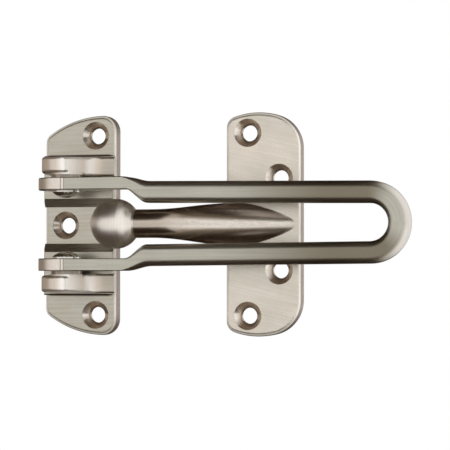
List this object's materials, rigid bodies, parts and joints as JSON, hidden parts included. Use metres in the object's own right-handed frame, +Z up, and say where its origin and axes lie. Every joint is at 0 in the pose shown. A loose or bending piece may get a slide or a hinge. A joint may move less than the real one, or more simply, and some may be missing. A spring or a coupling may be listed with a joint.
{
  "type": "swing bar door guard",
  "caption": "Door guard with a looped swing bar on an eared hinge plate, and a keeper plate whose ball-ended arm stands in the bar's opening.",
  "frame": {"origin": "middle of the hinge plate's back face, on the surface it is screwed to", "axes": "+X along the swing bar towards its loop, +Y into the door, +Z up the door"},
  "size_m": [0.1334, 0.0296, 0.0762],
  "materials": {
    "satin_nickel_plate": "satin nickel plate on cast metal, brushed along the bar",
    "satin_nickel_bar": "satin nickel plate on cast metal, brushed along the bar",
    "satin_nickel_keeper": "satin nickel plate on cast metal, the arm and ball turned and brushed",
    "polished_rivet": "polished nickel",
    "bright_washer": "bright plated washer"
  },
  "bodies": {
    "plates": {"hinge_plate": "satin_nickel_plate", "keeper": "satin_nickel_keeper", "pivot_pin_upper": "polished_rivet", "pivot_pin_lower": "polished_rivet", "washer_upper": "bright_washer", "washer_lower": "bright_washer"},
    "bar": {"swing_bar": "satin_nickel_bar"}
  },
  "joints": [
    {"name": "bar_swing", "type": "hinge", "parent": "plates", "child": "bar", "pos_m": [-0.0009, -0.0153, 0], "axis": [0, 0, -1], "range_deg": [0, 180]}
  ]
}
